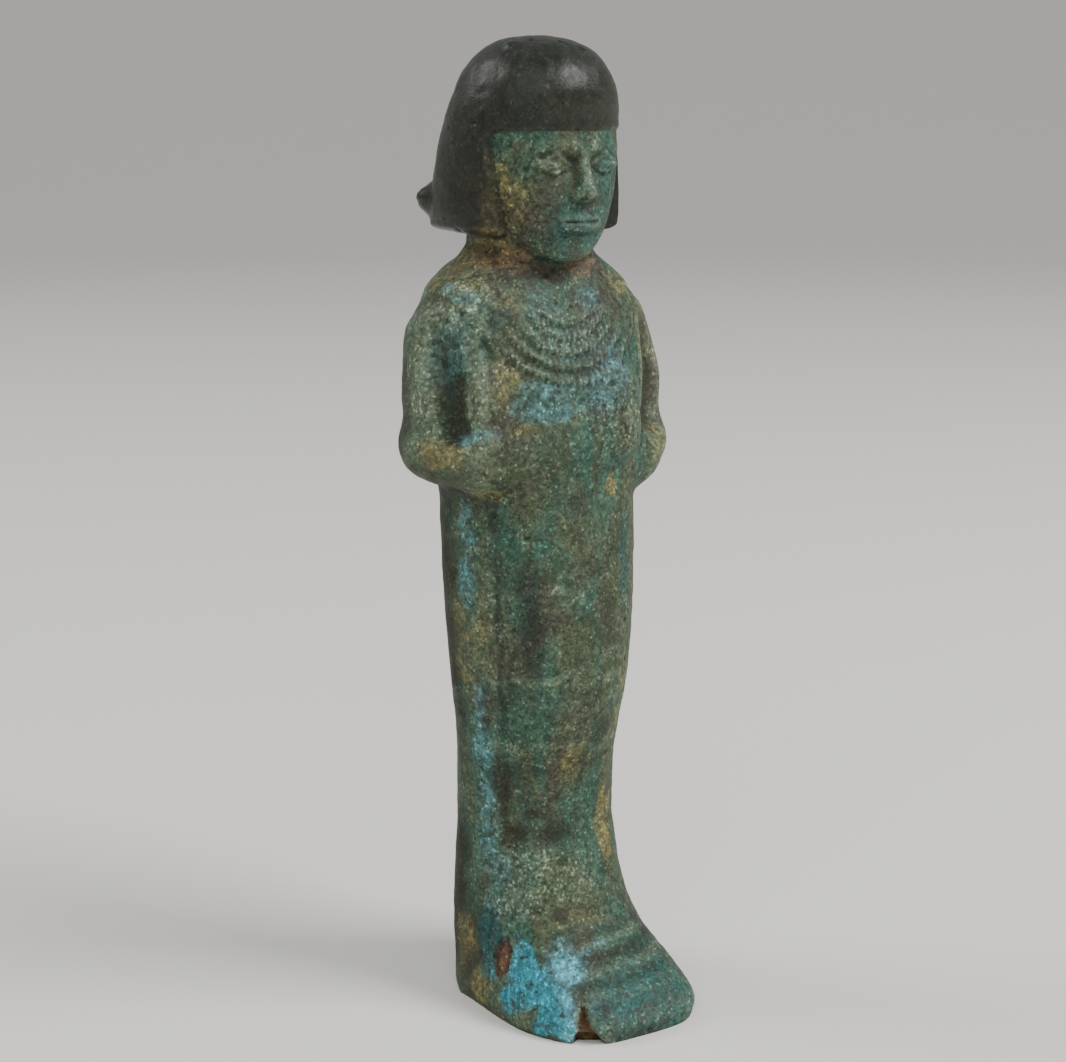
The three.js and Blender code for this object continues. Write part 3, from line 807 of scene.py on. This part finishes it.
# ---------- Materials ----------
def add(tree, kind, inputs=None, **settings):
    """A node with its settings, and its inputs set or linked; a node links its first output."""
    node = tree.nodes.new(kind)
    for name, value in settings.items():
        setattr(node, name, value)
    for key, value in (inputs or {}).items():
        if isinstance(value, bpy.types.Node):
            value = value.outputs[0]
        if isinstance(value, bpy.types.NodeSocket):
            tree.links.new(value, node.inputs[key])
        else:
            node.inputs[key].default_value = value
    return node


FACTOR, COLOUR_A, COLOUR_B, COLOUR_OUT = 0, 6, 7, 2  # sockets of a colour mix
USUAL = {"From Min": 0.3, "From Max": 0.7}  # where nearly all of a noise's values lie
GLAZE_IOR, DULLED = 1.5, 0.32  # old glaze bends light as glass does, but its sheen has worn down
STREAKED = (1, 1, 0.38)  # the glaze ran down, so its drifts are longer than they are wide


def millimetres(size):
    """The scale of a pattern whose features are this size."""
    return 1 / (size * UNIT)


def weathered_faience(colours, sizes):
    """Faience: ground quartz pressed in a mould and fired under a thin alkaline glaze, then buried.

    The glaze has gone dull and sandy. Each grain has its own shade, green and olive drift into each
    other over a few millimetres, and fresh blue is left only where nothing rubbed.
    """
    # Besides its weathering, the colour holds painted shade in the hollows, on the sides and in the
    # arm hollows, and painted light on the cheek and neck under the wig.
    material = bpy.data.materials.new("weathered faience, moulded and glazed")
    material.use_nodes = True
    tree = material.node_tree
    tree.nodes.clear()
    place = add(tree, "ShaderNodeTexCoord").outputs["Object"]

    # Drifts of the glaze colour: size in mm, detail, roughness, distortion, stretch and shift.
    noises = {}
    for name, size, detail, roughness, distortion, stretch, shift in (
        ("drift", 5.5, 5, 0.62, 0.6, STREAKED, 0.0),
        ("stain", 7.0, 5, 0.66, 0.4, STREAKED, 0.31),
        ("mottle", 1.7, 5, 0.66, 0.3, (1, 1, 0.7), 0.0),
        ("sand", 0.75, 3, 0.6, 0.0, (1, 1, 1), 0.57),
        ("grain", sizes.grain, 2, 0.5, 0.0, (1, 1, 1), 0.13),
    ):
        where = add(
            tree,
            "ShaderNodeMapping",
            {"Vector": place, "Location": (shift, shift, shift), "Scale": stretch},
        )
        settings = {
            "Vector": where,
            "Scale": millimetres(size),
            "Detail": detail,
            "Roughness": roughness,
            "Distortion": distortion,
        }
        noises[name] = add(tree, "ShaderNodeTexNoise", settings).outputs["Fac"]
    cells = add(
        tree, "ShaderNodeTexVoronoi", {"Vector": place, "Scale": millimetres(sizes.grain)}
    ).outputs["Color"]
    cells = add(tree, "ShaderNodeSeparateColor", {0: cells}).outputs

    marks = {}
    for name in (*MARKS, "rust", "core", "wig", "hollow", "ridge"):
        marks[name] = add(tree, "ShaderNodeAttribute", attribute_name=name).outputs["Fac"]
    broken = add(tree, "ShaderNodeMath", {0: noises["mottle"], 1: noises["sand"]}, operation="ADD")
    broken = add(tree, "ShaderNodeMath", {0: broken, 1: 1.0}, operation="SUBTRACT")
    # Laid over each other: value, where its cover starts and ends, most cover, colour.
    layers = [
        (noises["drift"], 0.42, 0.60, 1.0, colours.sage),
        (noises["stain"], 0.50, 0.64, 0.85, colours.umber),
        (noises["mottle"], 0.52, 0.70, 0.6, colours.umber),
        (marks["ridge"], 0.0, 1.0, 0.4, colours.pale),
    ]
    # Marks whose edges the sand breaks up: the second number is how raggedly.
    for name, raggedness, low, high, cover, tint in (
        ("wig", 0.8, 0.25, 0.8, 0.92, colours.wig),
        # painted shade on the sides, in a dark olive
        ("side_shade", 1.5, 0.1, 0.9, 0.9, colours.side_shade),
        # rubbed edges and earth, and painted light on the cheek and neck under the wig
        ("ochre", 2.4, 0.0, 1.0, 0.8, colours.ochre),
        ("neck", 2.4, 0.0, 0.9, 0.8, colours.neck),
        ("blue", 2.4, 0.0, 1.2, 0.8, colours.blue),
        # brown-black stain, and painted shade in the arm hollows and beside the wig
        ("stain_and_shade", 2.4, 0.0, 1.0, 0.8, colours.stain_and_shade),
        ("teal", 2.0, 0.0, 1.0, 0.85, colours.teal),
        ("frost", 2.5, 0.0, 1.0, 0.2, colours.pale),
        ("turquoise", 2.6, 0.1, 0.9, 0.95, colours.turquoise),
        ("rust", 0.5, 0.35, 0.65, 1.0, colours.rust),
        ("core", 0.5, 0.35, 0.65, 1.0, colours.core),
    ):
        ragged = add(
            tree, "ShaderNodeMath", {0: broken, 1: raggedness, 2: 1.0}, operation="MULTIPLY_ADD"
        )
        ragged = add(tree, "ShaderNodeMath", {0: ragged, 1: marks[name]}, operation="MULTIPLY")
        layers.append((ragged, low, high, cover, tint))
    # darker in the hollows: soil, and painted shade
    layers.append((marks["hollow"], 0.0, 1.0, 0.5, colours.dirt_and_shade))
    colour = (*colours.olive, 1)
    for value, low, high, cover, tint in layers:
        share = add(
            tree,
            "ShaderNodeMapRange",
            {"Value": value, "From Min": low, "From Max": high, "To Max": cover},
            interpolation_type="SMOOTHSTEP",
        )
        colour = add(
            tree,
            "ShaderNodeMix",
            {FACTOR: share, COLOUR_A: colour, COLOUR_B: (*tint, 1)},
            data_type="RGBA",
        ).outputs[COLOUR_OUT]

    # The turquoise clouds over where it lies thick, so it goes milky in patches.
    cloudy = add(
        tree,
        "ShaderNodeMapRange",
        {"Value": noises["stain"], "From Min": 0.42, "From Max": 0.58, "To Max": 0.9},
    )
    thick = add(tree, "ShaderNodeMath", {0: cloudy, 1: marks["turquoise"]}, operation="MULTIPLY")
    colour = add(
        tree,
        "ShaderNodeMix",
        {FACTOR: thick, COLOUR_A: colour, COLOUR_B: (*colours.milky, 1)},
        data_type="RGBA",
    ).outputs[COLOUR_OUT]

    # Each grain has its own shade of the glaze round it, and a few are bare and paler.
    shade = add(tree, "ShaderNodeMapRange", {"Value": cells[0], "To Min": 0.6, "To Max": 1.35})
    bare = add(
        tree, "ShaderNodeMath", {0: marks["frost"], 1: 0.2, 2: cells[1]}, operation="MULTIPLY_ADD"
    )
    bare = add(
        tree,
        "ShaderNodeMapRange",
        {"Value": bare, "From Min": 0.86, "From Max": 1.0, "To Min": 1.0, "To Max": 2.3},
    )
    shade = add(tree, "ShaderNodeMath", {0: shade, 1: bare}, operation="MULTIPLY")
    for name, low, high in (("sand", 0.6, 1.4), ("grain", 0.8, 1.2), ("mottle", 0.6, 1.4)):
        fine = add(
            tree,
            "ShaderNodeMapRange",
            {"Value": noises[name], **USUAL, "To Min": low, "To Max": high},
        )
        shade = add(tree, "ShaderNodeMath", {0: shade, 1: fine}, operation="MULTIPLY")
    # the grain shows less on the wig and on the painted side shade
    sleek = add(tree, "ShaderNodeMath", {0: marks["wig"], 1: marks["side_shade"]}, operation="MAXIMUM")
    seen = add(tree, "ShaderNodeMapRange", {"Value": sleek, "To Min": 1.0, "To Max": 0.7})
    colour = add(
        tree,
        "ShaderNodeMix",
        {FACTOR: seen, COLOUR_A: colour, COLOUR_B: shade},
        data_type="RGBA",
        blend_type="MULTIPLY",
    ).outputs[COLOUR_OUT]

    rough = add(
        tree,
        "ShaderNodeMapRange",
        {"Value": noises["mottle"], **USUAL, "To Min": 0.55, "To Max": 0.75},
    )
    rough = add(
        tree, "ShaderNodeMath", {0: marks["wig"], 1: -0.27, 2: rough}, operation="MULTIPLY_ADD"
    )

    height = add(
        tree, "ShaderNodeMath", {0: cells[0], 1: 0.35, 2: noises["grain"]}, operation="MULTIPLY_ADD"
    )
    height = add(
        tree, "ShaderNodeMath", {0: noises["sand"], 1: 1.2, 2: height}, operation="MULTIPLY_ADD"
    )
    bump = add(
        tree,
        "ShaderNodeBump",
        {"Height": height, "Strength": seen, "Distance": sizes.grain_depth * UNIT},
    ).outputs["Normal"]
    shader = add(
        tree,
        "ShaderNodeBsdfPrincipled",
        {
            "Base Color": colour,
            "Roughness": rough,
            "Normal": bump,
            "IOR": GLAZE_IOR,
            "Specular IOR Level": DULLED,
        },
    )
    add(tree, "ShaderNodeOutputMaterial", {"Surface": shader})
    return material


def studio_paper(tint):
    """Matt background paper: pale and without a sheen, so that the figurine's shadow stays soft."""
    material = bpy.data.materials.new("matt background paper")
    material.use_nodes = True
    tree = material.node_tree
    tree.nodes.clear()
    shader = add(
        tree, "ShaderNodeBsdfPrincipled",
        {"Base Color": (*tint, 1), "Roughness": 0.9, "Specular IOR Level": 0.2},
    )
    add(tree, "ShaderNodeOutputMaterial", {"Surface": shader})
    return material


# ---------- What a user may change ----------
def number(name, description, default, **limits):
    return FloatProperty(name=name, description=description, default=default, **limits)


class UshabtiSizes(bpy.types.PropertyGroup):
    fineness: number("Fineness", "Share of the full count of rows and columns", 1.0, min=0.2, max=1)
    wear: number("Wear", "Height of the worn lumps, in mm", 0.11, min=0, max=0.5)
    grit: number("Grit", "Height of the sandy grit, in mm", 0.03, min=0, max=0.2)
    bead: number("Bead length", "Length of a collar bead, in mm", 0.8, min=0.4, max=3)
    bead_relief: number("Bead relief", "Depth between two beads, in mm", 0.09, min=0, max=0.3)
    ripple: number("Toe ripples", "Height of the ridges over the toes, in mm", 0.09, min=0, max=0.5)
    pits: IntProperty(
        name="Pits", description="Number of small pits in the glaze", default=150, min=0, max=2000
    )
    grain: number("Grain", "Width of a quartz grain, in mm", 0.27, min=0.1, max=2)
    grain_depth: number("Grain depth", "Height of the grain, in mm", 0.045, min=0, max=0.5)


def colour_property(name, description, colour):
    return FloatVectorProperty(
        name=name,
        description=description,
        subtype="COLOR",
        size=3,
        min=0,
        max=1,
        default=to_linear(colour),
    )


class UshabtiColours(bpy.types.PropertyGroup):
    olive: colour_property("Olive", "Worn green glaze, the yellow side of it", "#404a35")
    sage: colour_property("Sage", "Worn green glaze, the cool side of it", "#345344")
    umber: colour_property("Umber", "Grey-brown drift in the glaze", "#3c3930")
    # painted shade on the sides, a dark olive
    side_shade: colour_property("Deep olive", "Painted shade on the sides, a dark olive", "#17190d")
    wig: colour_property("Wig", "Dark grey-olive glaze of the wig", "#1f1f18")
    # rubbed edges and earth, and painted light on the cheek and neck under the wig
    ochre: colour_property("Ochre", "Rubbed edges, and painted light under the wig", "#6a643d")
    neck: colour_property("Red-brown", "Earth about the neck", "#5c4b37")
    blue: colour_property("Blue", "Fresher blue glaze", "#4a787b")
    # brown-black stain, and painted shade in the arm hollows and beside the wig
    stain_and_shade: colour_property("Dark", "Brown-black stain, and painted shade in the hollows", "#231f18")
    teal: colour_property("Teal", "Deep pooled glaze", "#144a49")
    turquoise: colour_property("Turquoise", "Bright glaze round the foot", "#2c7f8e")
    milky: colour_property("Milky blue", "The same glaze where it has gone cloudy", "#66a9b2")
    rust: colour_property("Rust", "Scar under a lost flake", "#5b4432")
    core: colour_property("Core", "Body where the sole is chipped", "#543f22")
    # soil and painted shade in the hollows
    dirt_and_shade: colour_property("Dirt and shade", "Soil and painted shade in the hollows", "#11110b")
    pale: colour_property("Pale", "Quartz grains and rubbed ridges", "#76846d")


class UshabtiStage(bpy.types.PropertyGroup):
    paper: colour_property("Paper", "Floor and backdrop", "#ece9e4")
    flat_radius: number("Floor radius", "Radius of the flat floor", 1.1, unit="LENGTH")
    bend: number("Bend", "Radius of the bend into the wall", 0.9, unit="LENGTH")
    world: number("Sky", "Strength of the pale surroundings", 0.45)
    key: number("Key", "Power of the key light", 7.5, unit="POWER")
    rim: number("Rim", "Power of the light behind", 2.5, unit="POWER")
    fill: number("Fill", "Power of the front fill", 2.5, unit="POWER")
    azimuth: number(
        "Azimuth", "Where the camera stands round it", math.radians(-38), unit="ROTATION"
    )
    elevation: number(
        "Elevation", "How high the camera looks down", math.radians(13), unit="ROTATION"
    )
    distance: number("Distance", "From the camera to the figurine", 232 * UNIT, unit="LENGTH")
    lens: number("Lens", "Focal length in mm", 67.7, min=10, max=300)


# ---------- Operators ----------
class USHABTI_OT_figurine(bpy.types.Operator):
    """Build the figurine's fine skin in weathered faience"""

    bl_idname = "ushabti.figurine"
    bl_label = "Build the figurine"

    def execute(self, context):
        sizes, colours = context.scene.ushabti_sizes, context.scene.ushabti_colours
        plain = cast_skin(sizes.fineness * (1))
        normals = grid_normals(plain)
        fray = clouds(plain, 0.9, 3, seed=3)
        lift = relief(plain, sizes, fray) - scattered_pits(plain, sizes.pits)
        z = plain[..., 2:]
        push = normals * lift[..., None]
        push[..., 2:] *= smoothstep(z, 0, 0.8)  # the sole stays flat
        points = plain + push
        values = surface_marks(points, plain, fray)
        skin = closed_mesh("figurine_skin", points, 6, values)
        piece = link(bpy.data.objects.new("figurine_skin", skin))
        piece.data.materials.append(weathered_faience(colours, sizes))
        corners = points.reshape(-1, 3) * UNIT
        for low, high, a, b in zip(LOW, HIGH, corners.min(axis=0), corners.max(axis=0)):
            if max(abs(low - a), abs(high - b)) > ALLOWED * UNIT:
                raise RuntimeError("the skin doesn't fill the frame's box: its sizes differ")
        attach(piece, "root")
        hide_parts("figurine")
        return {"FINISHED"}


class USHABTI_OT_stage(bpy.types.Operator):
    """Set up the pale floor, the soft lights and the camera"""

    bl_idname = "ushabti.stage"
    bl_label = "Set up the stage"

    def execute(self, context):
        settings = context.scene.ushabti_stage
        self.floor(settings)
        self.lights(context, settings)
        self.camera(context, settings)
        return {"FINISHED"}

    def floor(self, settings):
        """A round floor whose edge bends up into a wall, so that no horizon shows from anywhere."""
        ring, bends = 96, 16
        edge = [(r, 0.0) for r in (0.05, 0.3, settings.flat_radius)]
        for i in range(1, bends + 1):
            turn = math.pi / 2 * i / bends
            radius = settings.flat_radius + settings.bend * math.sin(turn)
            edge.append((radius, settings.bend * (1 - math.cos(turn))))
        vertices = [(0, 0, 0)]
        for radius, height in edge:
            for k in range(ring):
                a = 2 * math.pi * k / ring
                vertices.append((radius * math.cos(a), radius * math.sin(a), height))
        faces = [(0, 1 + k, 1 + (k + 1) % ring) for k in range(ring)]
        for i in range(len(edge) - 1):
            for k in range(ring):
                a, b = 1 + i * ring + k, 1 + i * ring + (k + 1) % ring
                faces.append((a, a + ring, b + ring, b))
        mesh = bpy.data.meshes.new("studio_floor")
        mesh.from_pydata(vertices, [], faces)
        mesh.polygons.foreach_set("use_smooth", [True] * len(mesh.polygons))
        mesh.materials.append(studio_paper(settings.paper))
        link(bpy.data.objects.new("studio_floor", mesh))

    def lights(self, context, settings):
        world = bpy.data.worlds.new("pale surroundings")
        world.use_nodes = True
        background = world.node_tree.nodes["Background"]
        background.inputs["Color"].default_value = (*to_linear("#eef1f3"), 1)
        background.inputs["Strength"].default_value = settings.world
        context.scene.world = world
        middle = Vector((0, 0, HEIGHT / 2 * UNIT))
        for name, power, turn, rise, away, size in (
            ("key", settings.key, 75, 44, 0.9, 0.4),
            ("rim", settings.rim, -102, 42, 0.9, 0.35),
            ("fill", settings.fill, -8, 38, 0.9, 0.8),
        ):
            lamp = bpy.data.lights.new(name, "AREA")
            lamp.energy, lamp.size = power, size
            light = link(bpy.data.objects.new(name, lamp))
            towards = direction(settings.azimuth + math.radians(turn), math.radians(rise))
            light.location = middle + away * towards
            light.rotation_euler = (-towards).to_track_quat("-Z", "Y").to_euler()

    def camera(self, context, settings):
        lens = bpy.data.cameras.new("camera")
        lens.lens, lens.sensor_width = settings.lens, 36.0
        lens.clip_start = 0.01
        camera = link(bpy.data.objects.new("camera", lens))
        towards = direction(settings.azimuth, settings.elevation)
        camera.location = Vector((0, 0, 52 * UNIT)) + settings.distance * towards
        sideways = Vector((math.cos(settings.azimuth), math.sin(settings.azimuth), 0))
        aim = Vector((0, 0, 54.4 * UNIT)) + 0.35 * UNIT * sideways
        camera.rotation_euler = (aim - camera.location).to_track_quat("-Z", "Y").to_euler()
        context.scene.camera = camera


def direction(azimuth, elevation):
    """From the figurine to where a camera or lamp stands; azimuth 0 is straight in front."""
    flat = math.cos(elevation)
    return Vector((math.sin(azimuth) * flat, -math.cos(azimuth) * flat, math.sin(elevation)))


class USHABTI_PT_panel(bpy.types.Panel):
    bl_idname = "USHABTI_PT_panel"
    bl_label = "Ushabti figurine"
    bl_space_type = "VIEW_3D"
    bl_region_type = "UI"
    bl_category = "Ushabti"

    def draw(self, context):
        for group, operator in (
            ("ushabti_sizes", None),
            ("ushabti_colours", "ushabti.figurine"),
            ("ushabti_stage", "ushabti.stage"),
        ):
            box = self.layout.box()
            settings = getattr(context.scene, group)
            for name in settings.__annotations__:
                box.prop(settings, name)
            if operator:
                box.operator(operator)


CLASSES = (
    UshabtiSizes,
    UshabtiColours,
    UshabtiStage,
    USHABTI_OT_figurine,
    USHABTI_OT_stage,
    USHABTI_PT_panel,
)


def register():
    for cls in CLASSES:
        bpy.utils.register_class(cls)
    bpy.types.Scene.ushabti_sizes = PointerProperty(type=UshabtiSizes)
    bpy.types.Scene.ushabti_colours = PointerProperty(type=UshabtiColours)
    bpy.types.Scene.ushabti_stage = PointerProperty(type=UshabtiStage)


def unregister():
    for name in ("ushabti_sizes", "ushabti_colours", "ushabti_stage"):
        delattr(bpy.types.Scene, name)
    for cls in reversed(CLASSES):
        bpy.utils.unregister_class(cls)


def corners(bounds):
    return [[float(v) for v in corner] for corner in bounds]


def main():
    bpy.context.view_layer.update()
    register()
    bpy.ops.ushabti.figurine()
    bpy.ops.ushabti.stage()


if __name__ == "__main__":
    main()
